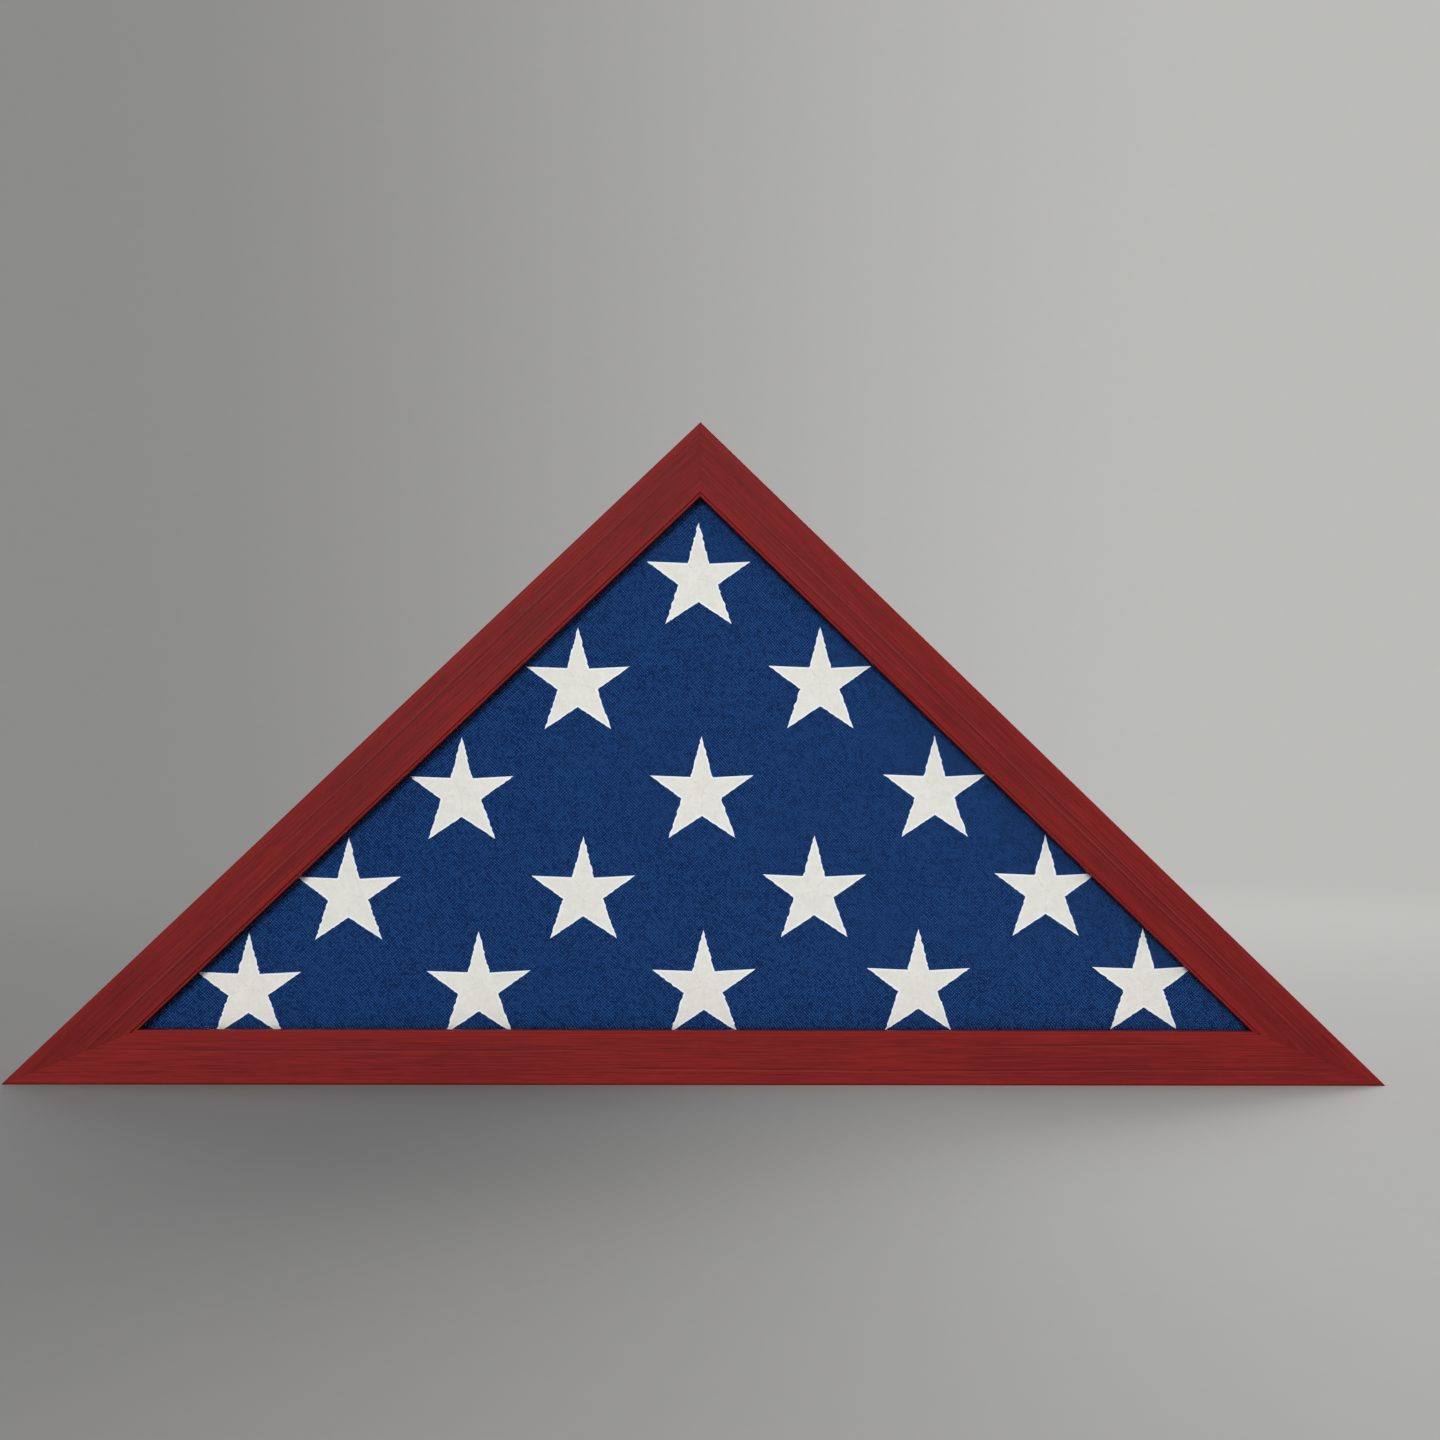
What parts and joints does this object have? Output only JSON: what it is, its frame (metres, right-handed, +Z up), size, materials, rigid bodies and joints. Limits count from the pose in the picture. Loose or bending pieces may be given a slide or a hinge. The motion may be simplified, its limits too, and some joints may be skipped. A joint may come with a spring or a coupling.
{
  "type": "folded flag display case",
  "caption": "Triangular wooden shadow box with a glass front, a folded star-field flag inside, and a lift-out back board held by turn buttons.",
  "frame": {"origin": "under the middle of the case, on the surface that its bottom rail stands on, midway between the front face and the backs of the wall bumpers", "axes": "+X along the bottom rail to the right as the viewer sees it, +Y from the glass towards the wall, +Z up to the top corner"},
  "size_m": [0.5, 0.0796, 0.24],
  "materials": {
    "stained_wood": "satin",
    "nail_steel": "satin",
    "clear_glass": "polished",
    "black_board": "matte",
    "blue_cloth": "matte",
    "white_thread": "satin",
    "fibreboard": "matte",
    "black_felt": "matte",
    "hanger_brass": "satin",
    "zinc_steel": "satin",
    "screw_steel": "polished",
    "bumper_rubber": "matte"
  },
  "bodies": {
    "case": {"bottom_rail": "stained_wood", "left_rail": "stained_wood", "right_rail": "stained_wood", "mitre_v_nails": "nail_steel", "glass_pane": "clear_glass", "bottom_spacer": "black_board", "left_spacer": "black_board", "right_spacer": "black_board", "folded_flag": "blue_cloth", "embroidered_stars": "white_thread", "turn_button_screws": "screw_steel", "wall_bumpers": "bumper_rubber"},
    "back": {"back_board": "fibreboard", "felt_lining": "black_felt", "sawtooth_hanger": "hanger_brass", "hanger_rivets": "hanger_brass"},
    "button_base_left": {"turn_button_base_left": "zinc_steel"},
    "button_base_right": {"turn_button_base_right": "zinc_steel"},
    "button_left_low": {"turn_button_left_low": "zinc_steel"},
    "button_left_high": {"turn_button_left_high": "zinc_steel"},
    "button_right_low": {"turn_button_right_low": "zinc_steel"},
    "button_right_high": {"turn_button_right_high": "zinc_steel"}
  },
  "joints": [
    {"name": "back_lift", "type": "slide", "parent": "case", "child": "back", "axis": [0, 1, 0], "range_m": [0, 0.1]},
    {"name": "button_base_left_turn", "type": "hinge", "parent": "case", "child": "button_base_left", "pos_m": [-0.13, 0.037, 0.005], "axis": [0, -1, 0], "range_deg": [-90, 0]},
    {"name": "button_base_right_turn", "type": "hinge", "parent": "case", "child": "button_base_right", "pos_m": [0.13, 0.037, 0.005], "axis": [0, 1, 0], "range_deg": [-90, 0]},
    {"name": "button_left_low_turn", "type": "hinge", "parent": "case", "child": "button_left_low", "pos_m": [-0.17079, 0.037, 0.06911], "axis": [0, 1, 0], "range_deg": [-90, 0]},
    {"name": "button_left_high_turn", "type": "hinge", "parent": "case", "child": "button_left_high", "pos_m": [-0.07701, 0.037, 0.15914], "axis": [0, 1, 0], "range_deg": [-90, 0]},
    {"name": "button_right_low_turn", "type": "hinge", "parent": "case", "child": "button_right_low", "pos_m": [0.17079, 0.037, 0.06911], "axis": [0, -1, 0], "range_deg": [-90, 0]},
    {"name": "button_right_high_turn", "type": "hinge", "parent": "case", "child": "button_right_high", "pos_m": [0.07701, 0.037, 0.15914], "axis": [0, -1, 0], "range_deg": [-90, 0]}
  ]
}
